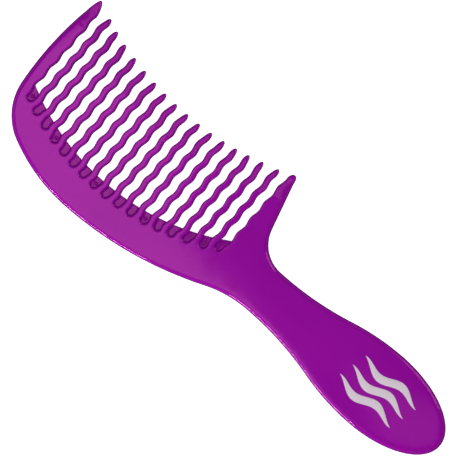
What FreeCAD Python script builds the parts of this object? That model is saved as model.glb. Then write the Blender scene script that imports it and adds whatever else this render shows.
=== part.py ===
import FreeCAD, Part
import Sketcher
import math
import os

# Wide tooth comb, lying on its back face. +X runs along the comb towards the end of the
# handle, +Y is the way the teeth point, +Z rises out of the printed front face.
# The origin is the bottom centre of the comb's bounding box. All sizes are millimetres.

os.makedirs("parts", exist_ok=True)
V = FreeCAD.Vector
UP = V(0, 0, 1)
doc = FreeCAD.newDocument("wide_tooth_comb")


# ---------------------------------------------------------------- driving dimensions

DIMENSIONS = [
    ("comb_thickness", 7.0, "spine, tooth roots and handle"),
    ("edge_radius", 2.0, "rounding of the outer edges of the spine and handle"),
    ("web_thickness", 1.2, "thin web between the tooth roots"),
    ("web_depth", 5.0, "how far each web recess reaches into the spine"),
    ("web_arc_x", -61.2, "centre of the arc through the free edges of the webs"),
    ("web_arc_y", 85.5, ""),
    ("web_arc_radius", 103.8, ""),
    ("recess_overrun", 3.2, "the recesses are cut this far past the webs' free edges"),
    ("pin_mark_radius", 1.0, "round ejector pads on some of the webs"),
    ("pin_mark_depth", 2.8, "from a web's free edge to the middle of its pad"),
    ("pin_mark_height", 0.15, ""),
    ("tip_arc_x", -55.6, "centre of the arc through the tooth tips"),
    ("tip_arc_y", 160.9, ""),
    ("tip_arc_radius", 135.9, ""),
    ("tooth_count", 16, "wavy teeth between the two guard teeth"),
    ("tooth_pitch", 6.15, ""),
    ("first_tooth_x", -102.7, ""),
    ("tooth_width", 2.88, ""),
    ("tip_length", 4.0, "length of a tooth's rounded tip, seen from the front"),
    ("tip_thickness", 3.2, "thickness that every tooth thins to"),
    ("taper_length", 13.0, "the teeth thin towards the tip over this length"),
    ("taper_overrun", 1.0, "the two sloping cuts run this far past the tip"),
    ("tip_settling", 1.5, "a tip goes on along the last wave's heading for about this far"),
    ("wave_height", 0.36, "half the sideways swing of a tooth"),
    ("wave_length", 8.43, ""),
    ("wave_zero_y", 3.95, "where every tooth crosses its own axis"),
    ("toe_x", -113.85, "outermost point of the toe"),
    ("toe_y", 8.0, ""),
    ("toe_edge_radius", 140.0, "outer edge of the front guard tooth"),
    ("toe_corner_radius", 24.6, ""),
    ("toe_tip_y", 36.5, "highest point of the front guard tooth"),
    ("toe_tip_length", 6.5, ""),
    ("toe_tip_lean", 0.4, "its tip leans outwards by this much"),
    ("toe_tip_narrowing", 0.3, "0 for a half ellipse, more for a slimmer tip"),
    ("heel_tip_length", 3.0, ""),
    ("back_x", -66.0, "lowest point of the spine"),
    ("back_y", -36.4, ""),
    ("front_back_radius", 77.5, "outer edge of the spine, toe side of its lowest point"),
    ("rear_back_radius", 162.2, "outer edge of the spine, handle side of its lowest point"),
    ("neck_fillet_radius", 50.4, "between the outer edge of the spine and the neck"),
    ("heel_fillet_radius", 15.0, "between the heel guard tooth and the neck"),
    ("heel_edge_angle", 15.95, "lean of the heel guard tooth's outer edge, degrees"),
    ("heel_edge_x", -1.75, "upper end of that straight outer edge"),
    ("heel_edge_y", 32.3, ""),
    ("heel_cut_y", 15.5, "lower end of that straight outer edge"),
    ("handle_axis_y", -8.75, "centre line of the handle"),
    ("neck_x", 20.0, "where the handle meets the spine"),
    ("neck_half_width", 10.25, ""),
    ("neck_curve_radius", 138.0, "hollow sides of the handle next to the neck"),
    ("belly_x", 79.0, "widest point of the handle"),
    ("belly_half_width", 17.55, ""),
    ("handle_end_x", 113.85, ""),
    ("print_x", 80.0, "centre of the printed mark"),
    ("print_length", 30.0, "length of a printed wave"),
    ("print_pitch", 6.2, "from one printed wave to the next"),
    ("print_half_width", 1.8, "half the width of a printed wave at its middle"),
    ("print_swing", 1.6, "half the swing of a printed wave"),
    ("print_turns", 1.47, "waves along the length of a printed wave"),
    ("print_stagger", 1.5, "each printed wave lies this much further along than the last"),
    ("print_thickness", 0.1, "thickness of the ink"),
]

sheet = doc.addObject("Spreadsheet::Sheet", "Dimensions")
for row, (alias, value, note) in enumerate(DIMENSIONS, start=1):
    sheet.set(f"A{row}", alias)
    sheet.set(f"B{row}", str(value))
    sheet.set(f"C{row}", note)
    sheet.setAlias(f"B{row}", alias)
doc.recompute()

POINTS_PER_WAVE = 6
PRINT_STEPS = 12
PIN_MARK_WEBS = (0, 3, 7, 11, 15)


def dim(alias):
    """The number in the sheet's cell of this name."""
    return float(sheet.get(alias))


# ---------------------------------------------------------------- the comb's own curves

GAP = dim("tooth_pitch") - dim("tooth_width")
TOE_INNER_X = dim("first_tooth_x") - dim("tooth_width") / 2 - GAP
HEEL_INNER_X = TOE_INNER_X + (dim("tooth_count") + 1) * dim("tooth_pitch") - dim("tooth_width")


def sway(y):
    """Sideways offset at height y of every wavy edge: all the teeth wave in step."""
    turns = (y - dim("wave_zero_y")) / dim("wave_length")
    return dim("wave_height") * math.sin(2 * math.pi * turns)


def arc_height(name, x, deeper=0.0):
    """Height at x of the web arc or the tip arc, which both sag between the guard teeth."""
    radius = dim(f"{name}_arc_radius") + deeper
    return dim(f"{name}_arc_y") - math.sqrt(radius ** 2 - (x - dim(f"{name}_arc_x")) ** 2)


def web_corner(edge_x):
    """Where the wavy edge that swings about edge_x meets the web arc."""
    x = edge_x
    for _ in range(20):
        y = arc_height("web", x)
        x = edge_x + sway(y)
    return V(x, y, 0)


def wavy_side(edge_x, start_y, end_y):
    """Points up or down one wavy edge."""
    steps = math.ceil(abs(end_y - start_y) / dim("wave_length") * POINTS_PER_WAVE)
    heights = [start_y + (end_y - start_y) * step / steps for step in range(steps + 1)]
    return [V(edge_x + sway(y), y, 0) for y in heights]


def tip_points(left, right, length, lean_at, narrowing=0.0):
    """Points over a rounded tip, from left to right; lean_at gives the sideways lean at a
    height above the shoulders."""
    middle = (left + right) / 2
    half_width = (right - left).x / 2
    points = []
    for degrees in (150, 120, 90, 60, 30):
        angle = math.radians(degrees)
        rise = length * math.sin(angle)
        reach = half_width * math.cos(angle) * (1 - narrowing * math.sin(angle))
        points.append(middle + V(reach + lean_at(rise), rise, 0))
    return points


def settling_lean(shoulder_y):
    """How a tip leans as it carries on along the wave's heading and straightens."""
    turn = 2 * math.pi / dim("wave_length")
    heading = dim("wave_height") * turn * math.cos(turn * (shoulder_y - dim("wave_zero_y")))
    settling = dim("tip_settling")
    return lambda rise: heading * settling * (1 - math.exp(-rise / settling))


def spline(points):
    """A smooth curve through the points."""
    curve = Part.BSplineCurve()
    curve.interpolate(points)
    return curve


def arc_between(centre, start, end):
    """The arc about centre that runs anticlockwise from start to end."""
    circle = Part.Circle(centre, UP, (start - centre).Length)
    return Part.ArcOfCircle(circle, circle.parameter(start), circle.parameter(end))


# ---------------------------------------------------------------- document helpers


def new_body(label, x_formula="0", y_formula="0"):
    """A body whose own XY plane is the comb's middle plane."""
    body = doc.addObject("PartDesign::Body", label)
    body.Label = label
    body.setExpression("Placement.Base.x", f"({x_formula}) * 1 mm")
    body.setExpression("Placement.Base.y", f"({y_formula}) * 1 mm")
    body.setExpression("Placement.Base.z", "Dimensions.comb_thickness / 2 * 1 mm")
    return body


def new_sketch(body, name, role="XY_Plane"):
    plane = next(o for o in body.Origin.OriginFeatures if o.Role == role)
    sketch = body.newObject("Sketcher::SketchObject", name)
    sketch.AttachmentSupport = [(plane, "")]
    sketch.MapMode = "FlatFace"
    return sketch


def draw_closed(sketch, curves, tangent_after=()):
    """Draw curves end to end and join them. Each corner listed by the number of the
    curve before it is tangent. Returns the number of the first curve."""
    first = sketch.GeometryCount
    ends = []
    for curve in curves:
        sketch.addGeometry(curve, False)
        ends.append({1: curve.value(curve.FirstParameter), 2: curve.value(curve.LastParameter)})
    entry = {}
    for here in range(len(curves)):
        there = (here + 1) % len(curves)
        exits = [end for end in (2, 1) if end != entry.get(here)]
        pairs = [(a, b) for a in exits for b in (1, 2)]
        a, b = min(pairs, key=lambda pair: (ends[here][pair[0]] - ends[there][pair[1]]).Length)
        entry[there] = b
        kind = "Tangent" if here in tangent_after else "Coincident"
        sketch.addConstraint(Sketcher.Constraint(kind, first + here, a, first + there, b))
    return first


def drive(sketch, name, kind, where, value, formula):
    """Add a named constraint whose value follows the sheet."""
    index = sketch.addConstraint(Sketcher.Constraint(kind, *where, value))
    sketch.renameConstraint(index, name)
    sketch.setExpression(f"Constraints.{name}", f"({formula}) * 1 mm")


def drive_radius(sketch, curve, alias):
    drive(sketch, alias, "Radius", (curve,), dim(alias), f"Dimensions.{alias}")


def pad_through(body, sketch):
    """Pad a profile to both sides of the middle plane, as thick as the comb."""
    pad = body.newObject("PartDesign::Pad", "pad")
    pad.Profile = sketch
    pad.SideType = "Symmetric"
    pad.setExpression("Length", "Dimensions.comb_thickness * 1 mm")
    doc.recompute()
    return pad


def round_edges(body, feature, is_outer):
    """Round the edges of both broad faces along the comb's outside."""
    half = dim("comb_thickness") / 2
    names = []
    for number, edge in enumerate(feature.Shape.Edges, start=1):
        ends = [vertex.Point for vertex in edge.Vertexes]
        middle = edge.valueAt((edge.FirstParameter + edge.LastParameter) / 2)
        on_face = all(abs(abs(point.z) - half) < 1e-6 for point in ends + [middle])
        if on_face and is_outer(middle):
            names.append(f"Edge{number}")
    fillet = body.newObject("PartDesign::Fillet", "edge_rounding")
    fillet.Base = (feature, names)
    fillet.setExpression("Radius", "Dimensions.edge_radius * 1 mm")
    doc.recompute()


def thin_the_tip(body, tip_y, tip_formula):
    """Cut both broad faces down towards the tip of a tooth, and a little past it."""
    half = dim("comb_thickness") / 2
    run = dim("taper_length") + dim("taper_overrun")
    fall = (dim("comb_thickness") - dim("tip_thickness")) / 2 * run / dim("taper_length")
    start_y = tip_y - dim("taper_length")
    sketch = new_sketch(body, "taper_profile", "YZ_Plane")
    corners = [V(start_y, half, 0), V(start_y + run, half - fall, 0), V(start_y + run, half, 0)]
    wedges = []
    for side in (1, -1):
        places = [V(corner.x, side * corner.y, 0) for corner in corners]
        lines = [Part.LineSegment(places[k], places[(k + 1) % 3]) for k in range(3)]
        wedges.append(draw_closed(sketch, lines))
    upper, lower = wedges
    sketch.addConstraint(Sketcher.Constraint("Vertical", upper + 1))
    sketch.addConstraint(Sketcher.Constraint("Horizontal", upper + 2))
    for line in range(3):
        symmetric = Sketcher.Constraint("Symmetric", upper + line, 1, lower + line, 1, -1)
        sketch.addConstraint(symmetric)
    run_formula = "(Dimensions.taper_length + Dimensions.taper_overrun)"
    slope_formula = ("(Dimensions.comb_thickness - Dimensions.tip_thickness)"
                     " / (2 * Dimensions.taper_length)")
    drive(sketch, "start", "DistanceX", (-1, 1, upper, 1),
          start_y, f"{tip_formula} - Dimensions.taper_length")
    drive(sketch, "face", "DistanceY", (-1, 1, upper, 1), half, "Dimensions.comb_thickness / 2")
    drive(sketch, "run", "DistanceX", (upper, 1, upper + 1, 1), run, run_formula)
    drive(sketch, "fall", "DistanceY", (upper + 1, 1, upper, 1),
          fall, f"{slope_formula} * {run_formula}")
    cut = body.newObject("PartDesign::Pocket", "tip_taper")
    cut.Profile = sketch
    cut.Type = "ThroughAll"
    cut.SideType = "Symmetric"
    doc.recompute()


# ---------------------------------------------------------------- shared corner points

TOE_CENTRE = V(dim("toe_x") + dim("toe_edge_radius"), dim("toe_y"), 0)
FRONT_BACK_CENTRE = V(dim("back_x"), dim("back_y") + dim("front_back_radius"), 0)
REAR_BACK_CENTRE = V(dim("back_x"), dim("back_y") + dim("rear_back_radius"), 0)
BACK_POINT = V(dim("back_x"), dim("back_y"), 0)
TOE_ROOT = web_corner(TOE_INNER_X)
HEEL_ROOT = web_corner(HEEL_INNER_X)


def toe_edge_point(y):
    """The point of the toe's outer edge at height y."""
    reach = math.sqrt(dim("toe_edge_radius") ** 2 - (y - TOE_CENTRE.y) ** 2)
    return V(TOE_CENTRE.x - reach, y, 0)


def heel_edge_point(y):
    """The point at height y of the heel guard tooth's straight outer edge."""
    lean = math.tan(math.radians(dim("heel_edge_angle")))
    return V(dim("heel_edge_x") + (dim("heel_edge_y") - y) * lean, y, 0)


def toe_corner_centre():
    """Centre of the corner arc, which touches the toe's edge and the spine's edge inside."""
    from_toe = dim("toe_edge_radius") - dim("toe_corner_radius")
    from_back = dim("front_back_radius") - dim("toe_corner_radius")
    span = FRONT_BACK_CENTRE - TOE_CENTRE
    along = (span.Length ** 2 + from_toe ** 2 - from_back ** 2) / (2 * span.Length)
    across = math.sqrt(from_toe ** 2 - along ** 2)
    direction = span / span.Length
    return TOE_CENTRE + direction * along + V(direction.y, -direction.x, 0) * -across


# ---------------------------------------------------------------- spine


def draw_spine_outline(sketch):
    corner = toe_corner_centre()
    radius = dim("toe_corner_radius")
    corner_start = corner + (corner - TOE_CENTRE).normalize() * radius
    corner_end = corner + (corner - FRONT_BACK_CENTRE).normalize() * radius
    bottom = dim("handle_axis_y") - dim("neck_half_width")
    top = dim("handle_axis_y") + dim("neck_half_width")

    fillet = dim("neck_fillet_radius")
    reach = dim("rear_back_radius") + fillet
    drop = REAR_BACK_CENTRE.y - (bottom - fillet)
    fillet_centre = V(dim("back_x") + math.sqrt(reach ** 2 - drop ** 2), bottom - fillet, 0)
    fillet_start = fillet_centre + (REAR_BACK_CENTRE - fillet_centre).normalize() * fillet
    fillet_end = fillet_centre + V(0, fillet, 0)

    lean = math.radians(dim("heel_edge_angle"))
    outwards = V(math.cos(lean), math.sin(lean), 0)
    heel = dim("heel_fillet_radius")
    heel_y = top + heel
    heel_centre = heel_edge_point(heel_y) + V(heel / math.cos(lean), 0, 0)
    heel_start = heel_centre - V(0, heel, 0)
    heel_end = heel_centre - outwards * heel
    heel_cut = heel_edge_point(dim("heel_cut_y"))
    toe_cut = toe_edge_point(TOE_ROOT.y)

    neck_bottom = V(dim("neck_x"), bottom, 0)
    neck_top = V(dim("neck_x"), top, 0)
    web_centre = V(dim("web_arc_x"), dim("web_arc_y"), 0)
    first = draw_closed(sketch, [
        Part.LineSegment(TOE_ROOT, toe_cut),
        arc_between(TOE_CENTRE, toe_cut, corner_start),
        arc_between(corner, corner_start, corner_end),
        arc_between(FRONT_BACK_CENTRE, corner_end, BACK_POINT),
        arc_between(REAR_BACK_CENTRE, BACK_POINT, fillet_start),
        arc_between(fillet_centre, fillet_end, fillet_start),
        Part.LineSegment(fillet_end, neck_bottom),
        Part.LineSegment(neck_bottom, neck_top),
        Part.LineSegment(neck_top, heel_start),
        arc_between(heel_centre, heel_end, heel_start),
        Part.LineSegment(heel_end, heel_cut),
        Part.LineSegment(heel_cut, HEEL_ROOT),
        arc_between(web_centre, TOE_ROOT, HEEL_ROOT),
    ], tangent_after=(1, 2, 3, 4, 5, 8, 9))
    toe_edge, toe_corner, front_back, rear_back, neck_fillet = range(first + 1, first + 6)
    neck_base, neck_end, neck_roof, heel_fillet = range(first + 6, first + 10)
    web_arc = first + 12
    for line, kind in ((first, "Horizontal"), (neck_base, "Horizontal"),
                       (neck_end, "Vertical"), (neck_roof, "Horizontal")):
        sketch.addConstraint(Sketcher.Constraint(kind, line))
    for curve, alias in ((toe_edge, "toe_edge_radius"), (toe_corner, "toe_corner_radius"),
                         (front_back, "front_back_radius"), (rear_back, "rear_back_radius"),
                         (neck_fillet, "neck_fillet_radius"), (heel_fillet, "heel_fillet_radius"),
                         (web_arc, "web_arc_radius")):
        drive_radius(sketch, curve, alias)
    for name, curve, place, formulas in (
        ("toe", toe_edge, TOE_CENTRE,
         ("Dimensions.toe_x + Dimensions.toe_edge_radius", "Dimensions.toe_y")),
        ("back", front_back, FRONT_BACK_CENTRE,
         ("Dimensions.back_x", "Dimensions.back_y + Dimensions.front_back_radius")),
        ("web", web_arc, web_centre, ("Dimensions.web_arc_x", "Dimensions.web_arc_y")),
    ):
        drive(sketch, f"{name}_x", "DistanceX", (-1, 1, curve, 3), place.x, formulas[0])
        drive(sketch, f"{name}_y", "DistanceY", (-1, 1, curve, 3), place.y, formulas[1])
    drive(sketch, "neck_x", "DistanceX", (-1, 1, neck_end, 1), dim("neck_x"), "Dimensions.neck_x")
    drive(sketch, "neck_width", "Distance", (neck_end,),
          top - bottom, "2 * Dimensions.neck_half_width")
    drive(sketch, "neck_bottom", "DistanceY", (-1, 1, neck_end, 1),
          bottom, "Dimensions.handle_axis_y - Dimensions.neck_half_width")


def draw_recess(sketch, middle_x):
    """One U-shaped recess, open past the web's free edge and round at its inner end."""
    left = middle_x - GAP / 2
    right = middle_x + GAP / 2
    mouth = arc_height("web", middle_x) + dim("recess_overrun")
    inner = arc_height("web", middle_x, dim("web_depth")) + GAP / 2
    left_side = wavy_side(left, mouth, inner)
    right_side = wavy_side(right, inner, mouth)
    floor_centre = (left_side[-1] + right_side[0]) / 2
    draw_closed(sketch, [
        spline(left_side),
        arc_between(floor_centre, left_side[-1], right_side[0]),
        spline(right_side),
        Part.LineSegment(right_side[-1], left_side[0]),
    ])


def make_spine():
    body = new_body("spine")
    outline = new_sketch(body, "spine_outline")
    draw_spine_outline(outline)
    pad = pad_through(body, outline)

    # The edges at the toe and the heel are rounded below the roots of the guard teeth only.
    toe_limit = toe_edge_point(TOE_ROOT.y).x
    heel_limit = heel_edge_point(dim("heel_cut_y")).x + dim("web_thickness")

    def is_outer(point):
        below_teeth = point.y < arc_height("web", min(point.x, 0)) - 2 * dim("web_depth")
        at_toe = point.x < toe_limit
        at_heel = point.x > heel_limit
        return (below_teeth or at_toe or at_heel) and point.x < dim("neck_x")

    round_edges(body, pad, is_outer)

    recesses = new_sketch(body, "web_recesses")
    for number in range(int(dim("tooth_count")) + 1):
        middle_x = dim("first_tooth_x") + dim("tooth_pitch") * (number - 0.5)
        draw_recess(recesses, middle_x)
    recesses.setExpression("AttachmentOffset.Base.z", "Dimensions.web_thickness / 2 * 1 mm")
    front = body.newObject("PartDesign::Pocket", "front_recesses")
    front.Profile = recesses
    front.Type = "ThroughAll"
    front.Reversed = True
    doc.recompute()
    both = body.newObject("PartDesign::Mirrored", "back_recesses")
    both.Originals = [front]
    middle_plane = next(o for o in body.Origin.OriginFeatures if o.Role == "XY_Plane")
    both.MirrorPlane = (middle_plane, [""])
    body.Tip = both
    doc.recompute()
    one_side = pad.Shape.Volume - front.Shape.Volume
    print("recesses: one side", round(one_side), "both", round(pad.Shape.Volume - both.Shape.Volume))

    marks = new_sketch(body, "pin_marks")
    for number in PIN_MARK_WEBS:
        x = dim("first_tooth_x") + dim("tooth_pitch") * (number - 0.5)
        y = arc_height("web", x, dim("pin_mark_depth"))
        circle = Part.Circle(V(x + sway(y), y, 0), UP, dim("pin_mark_radius"))
        drawn = marks.addGeometry(circle, False)
        drive(marks, f"pin_{number}", "Radius", (drawn,),
              dim("pin_mark_radius"), "Dimensions.pin_mark_radius")
    pads = body.newObject("PartDesign::Pad", "pin_pads")
    pads.Profile = marks
    pads.setExpression(
        "Length", "(Dimensions.web_thickness / 2 + Dimensions.pin_mark_height) * 1 mm")
    doc.recompute()
    return body


# ---------------------------------------------------------------- handle


def make_handle():
    body = new_body("handle", y_formula="Dimensions.handle_axis_y")
    neck = V(dim("neck_x"), dim("neck_half_width"), 0)
    belly = V(dim("belly_x"), dim("belly_half_width"), 0)
    run = belly.x - neck.x
    turn = 2 * math.atan((belly.y - neck.y) / run)
    hollow = dim("neck_curve_radius")
    bulge = run / math.sin(turn) - hollow
    hollow_centre = neck + V(0, hollow, 0)
    bulge_centre = belly - V(0, bulge, 0)
    change = hollow_centre + V(math.sin(turn), -math.cos(turn), 0) * hollow
    end_ellipse = Part.Ellipse(V(belly.x, 0, 0), dim("handle_end_x") - belly.x, belly.y)

    def below(point):
        return V(point.x, -point.y, 0)

    outline = new_sketch(body, "handle_outline")
    neck_line, top_hollow, top_bulge, end, low_bulge, low_hollow = range(6)
    draw_closed(outline, [
        Part.LineSegment(below(neck), neck),
        arc_between(hollow_centre, neck, change),
        arc_between(bulge_centre, belly, change),
        Part.ArcOfEllipse(end_ellipse, -math.pi / 2, math.pi / 2),
        arc_between(below(bulge_centre), below(change), below(belly)),
        arc_between(below(hollow_centre), below(change), below(neck)),
    ], tangent_after=(top_hollow, low_bulge))
    outline.exposeInternalGeometry(end)
    long_axis = low_hollow + 1
    outline.addConstraint(Sketcher.Constraint("Horizontal", long_axis))
    outline.addConstraint(Sketcher.Constraint("PointOnObject", end, 3, -1))
    outline.addConstraint(Sketcher.Constraint("Symmetric", neck_line, 1, neck_line, 2, -1))
    for curve in (top_hollow, low_hollow):
        outline.addConstraint(Sketcher.Constraint("Vertical", curve, 3, neck_line, 2))
    for curve, pole in ((top_bulge, 3), (low_bulge, 3), (end, 1), (end, 2)):
        outline.addConstraint(Sketcher.Constraint("Vertical", curve, pole, end, 3))
    outline.addConstraint(Sketcher.Constraint("Equal", top_hollow, low_hollow))
    drive_radius(outline, top_hollow, "neck_curve_radius")
    drive(outline, "neck_x", "DistanceX", (-1, 1, neck_line, 1), neck.x, "Dimensions.neck_x")
    drive(outline, "neck_width", "Distance", (neck_line,), 2 * neck.y, "2 * Dimensions.neck_half_width")
    drive(outline, "belly_x", "DistanceX", (-1, 1, end, 3), belly.x, "Dimensions.belly_x")
    drive(outline, "belly_top", "DistanceY", (-1, 1, end, 2), belly.y, "Dimensions.belly_half_width")
    drive(outline, "end_length", "Distance", (long_axis,), 2 * (dim("handle_end_x") - belly.x),
          "2 * (Dimensions.handle_end_x - Dimensions.belly_x)")
    pad = pad_through(body, outline)
    round_edges(body, pad, lambda point: point.x > neck.x + 1e-6)
    return body


# ---------------------------------------------------------------- teeth


def tooth_x_formula(number):
    return f"Dimensions.first_tooth_x + {number} * Dimensions.tooth_pitch"


def tip_y_formula(number):
    offset = f"({tooth_x_formula(number)} - Dimensions.tip_arc_x)"
    return f"Dimensions.tip_arc_y - sqrt(pow(Dimensions.tip_arc_radius; 2) - pow({offset}; 2))"


def make_wave_tooth(number):
    """One wavy tooth, drawn about its own axis; number counts from the toe, from 0."""
    axis_x = dim("first_tooth_x") + number * dim("tooth_pitch")
    half_width = dim("tooth_width") / 2
    tip_y = arc_height("tip", axis_x)
    shoulder_y = tip_y - dim("tip_length")
    offset = V(axis_x, 0, 0)
    left_root = web_corner(axis_x - half_width) - offset
    right_root = web_corner(axis_x + half_width) - offset
    left = wavy_side(-half_width, left_root.y, shoulder_y)
    right = wavy_side(half_width, shoulder_y, right_root.y)
    over = tip_points(left[-1], right[0], dim("tip_length"), settling_lean(shoulder_y))
    web_centre = V(dim("web_arc_x"), dim("web_arc_y"), 0) - offset

    body = new_body(f"wave_tooth_{number + 1:02d}", x_formula=tooth_x_formula(number))
    outline = new_sketch(body, "tooth_outline")
    draw_closed(outline, [
        spline(left),
        spline([left[-1]] + over + [right[0]]),
        spline(right),
        arc_between(web_centre, left_root, right_root),
    ])
    pad_through(body, outline)
    thin_the_tip(body, tip_y, tip_y_formula(number))
    return body


def make_front_guard_tooth():
    body = new_body("front_guard_tooth")
    shoulder_y = dim("toe_tip_y") - dim("toe_tip_length")
    outer = toe_edge_point(shoulder_y)
    outer_root = toe_edge_point(TOE_ROOT.y)
    inner = wavy_side(TOE_INNER_X, shoulder_y, TOE_ROOT.y)
    over = tip_points(outer, inner[0], dim("toe_tip_length"),
                      lambda rise: -dim("toe_tip_lean") * (rise / dim("toe_tip_length")) ** 2,
                      dim("toe_tip_narrowing"))
    outline = new_sketch(body, "tooth_outline")
    first = draw_closed(outline, [
        arc_between(TOE_CENTRE, outer, outer_root),
        spline([outer] + over + [inner[0]]),
        spline(inner),
        Part.LineSegment(TOE_ROOT, outer_root),
    ])
    drive_radius(outline, first, "toe_edge_radius")
    pad_through(body, outline)
    thin_the_tip(body, dim("toe_tip_y"), "Dimensions.toe_tip_y")
    return body


def make_heel_guard_tooth():
    body = new_body("heel_guard_tooth")
    outer = heel_edge_point(dim("heel_edge_y"))
    outer_root = heel_edge_point(dim("heel_cut_y"))
    inner = wavy_side(HEEL_INNER_X, HEEL_ROOT.y, outer.y)
    over = tip_points(inner[-1], outer, dim("heel_tip_length"), lambda rise: 0.0)
    outline = new_sketch(body, "tooth_outline")
    draw_closed(outline, [
        spline(inner),
        spline([inner[-1]] + over + [outer]),
        Part.LineSegment(outer, outer_root),
        Part.LineSegment(outer_root, HEEL_ROOT),
    ])
    pad_through(body, outline)
    thin_the_tip(body, dim("heel_edge_y") + dim("heel_tip_length"),
                 "Dimensions.heel_edge_y + Dimensions.heel_tip_length")
    return body


# ---------------------------------------------------------------- printed mark


def make_handle_print():
    """Three tapered waves side by side, a thin film of ink on the front face."""
    body = new_body("handle_print", "Dimensions.print_x", "Dimensions.handle_axis_y")
    sketch = new_sketch(body, "waves")
    half_length = dim("print_length") / 2
    for row_number in (-1, 0, 1):
        upper = []
        lower = []
        for step in range(PRINT_STEPS + 1):
            along = 2 * step / PRINT_STEPS - 1
            middle = dim("print_swing") * math.sin(math.pi * dim("print_turns") * along)
            half_width = dim("print_half_width") * (1 - along ** 2)
            x = along * half_length + dim("print_stagger") * row_number
            y = row_number * dim("print_pitch") + middle
            upper.append(V(x, y + half_width, 0))
            lower.append(V(x, y - half_width, 0))
        draw_closed(sketch, [spline(upper), spline(lower)])
    sketch.setExpression("AttachmentOffset.Base.z", "Dimensions.comb_thickness / 2 * 1 mm")
    ink = body.newObject("PartDesign::Pad", "ink")
    ink.Profile = sketch
    ink.setExpression("Length", "Dimensions.print_thickness * 1 mm")
    doc.recompute()
    return body


# ---------------------------------------------------------------- build, check and write

bodies = [make_spine(), make_handle(), make_front_guard_tooth(), make_heel_guard_tooth()]
bodies += [make_wave_tooth(number) for number in range(int(dim("tooth_count")))]
bodies.append(make_handle_print())
doc.recompute()

for item in doc.Objects:
    if "Invalid" in item.State or "Error" in item.State:
        print(item.Label, item.getStatusString())
        raise RuntimeError(f"{item.Label} failed to compute: {item.State}")

for body in bodies:
    if body.Shape.isNull() or not body.Shape.isValid():
        raise RuntimeError(f"{body.Label} has no valid shape")
    body.Shape.exportStep(f"parts/{body.Label}.step")
    box = body.Shape.optimalBoundingBox()
    print(body.Label, "solids", len(body.Shape.Solids), "volume", round(body.Shape.Volume, 1),
          "x", round(box.XMin, 2), round(box.XMax, 2), "y", round(box.YMin, 2), round(box.YMax, 2),
          "z", round(box.ZMin, 2), round(box.ZMax, 2))
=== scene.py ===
"""Wide tooth comb: one glossy moulding with a printed mark, laid on a pale floor.

The moulding is one closed skin about the comb's middle plane. Its outline is the CAD part's
own, with the same driving dimensions in millimetres. Rings of points run inwards from the
outline over the rounded edges, and triangles fill what is left. The skin is then cut into the
CAD part's pieces, which share their border points and normals, so no seam shows.
"""

import itertools
import math

import bpy
import numpy as np
from mathutils import Matrix, Vector
from mathutils.geometry import delaunay_2d_cdt


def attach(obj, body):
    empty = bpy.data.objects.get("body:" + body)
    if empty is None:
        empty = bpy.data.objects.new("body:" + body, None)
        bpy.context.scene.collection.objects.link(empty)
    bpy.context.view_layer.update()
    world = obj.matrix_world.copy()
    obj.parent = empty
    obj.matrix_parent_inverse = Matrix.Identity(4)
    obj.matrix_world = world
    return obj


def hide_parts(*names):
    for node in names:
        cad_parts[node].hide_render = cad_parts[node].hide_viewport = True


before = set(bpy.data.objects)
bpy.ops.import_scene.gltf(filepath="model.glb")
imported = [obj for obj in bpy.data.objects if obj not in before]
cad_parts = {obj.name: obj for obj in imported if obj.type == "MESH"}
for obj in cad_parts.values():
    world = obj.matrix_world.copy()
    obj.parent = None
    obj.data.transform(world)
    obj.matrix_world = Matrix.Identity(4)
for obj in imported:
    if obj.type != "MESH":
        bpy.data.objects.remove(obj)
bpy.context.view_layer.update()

MM = 0.001

# ---------------------------------------------------------------- dimensions, as in the CAD part

COMB_THICKNESS = 7.0
EDGE_RADIUS = 2.0
WEB_THICKNESS = 1.2
WEB_DEPTH = 5.0
WEB_ARC = (-61.2, 85.5, 103.8)
PIN_MARK_RADIUS = 1.0
PIN_MARK_DEPTH = 2.8
PIN_MARK_SLOTS = (0, 3, 7, 11, 15)
TIP_ARC = (-55.6, 160.9, 135.9)
TOOTH_COUNT = 16
TOOTH_PITCH = 6.15
FIRST_TOOTH_X = -102.7
TOOTH_WIDTH = 2.88
TIP_LENGTH = 4.0
TIP_THICKNESS = 3.2
TAPER_LENGTH = 13.0
TIP_SETTLING = 1.5
WAVE_HEIGHT = 0.36
WAVE_LENGTH = 8.43
WAVE_ZERO_Y = 3.95
TOE_X, TOE_Y = -113.85, 8.0
TOE_EDGE_RADIUS = 140.0
TOE_CORNER_RADIUS = 24.6
TOE_TIP_Y = 36.5
TOE_TIP_LENGTH = 6.5
TOE_TIP_LEAN = 0.4
TOE_TIP_NARROWING = 0.3
HEEL_TIP_LENGTH = 3.0
BACK = np.array([-66.0, -36.4])
FRONT_BACK_RADIUS = 77.5
REAR_BACK_RADIUS = 162.2
NECK_FILLET_RADIUS = 50.4
HEEL_FILLET_RADIUS = 15.0
HEEL_EDGE_LEAN = math.radians(15.95)
HEEL_EDGE = np.array([-1.75, 32.3])
HEEL_CUT_Y = 15.5
HANDLE_AXIS_Y = -8.75
NECK_X = 20.0
NECK_HALF_WIDTH = 10.25
NECK_CURVE_RADIUS = 138.0
BELLY_X = 79.0
BELLY_HALF_WIDTH = 17.55
HANDLE_END_X = 113.85
PRINT_X = 80.0
PRINT_LENGTH = 30.0
PRINT_PITCH = 6.2
PRINT_HALF_WIDTH = 1.8
PRINT_SWING = 1.6
PRINT_TURNS = 1.47
PRINT_STAGGER = 1.5

GAP = TOOTH_PITCH - TOOTH_WIDTH
TOE_INNER_X = FIRST_TOOTH_X - TOOTH_WIDTH / 2 - GAP
HEEL_INNER_X = TOE_INNER_X + (TOOTH_COUNT + 1) * TOOTH_PITCH - TOOTH_WIDTH

# ---------------------------------------------------------------- looks of the moulding

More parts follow.
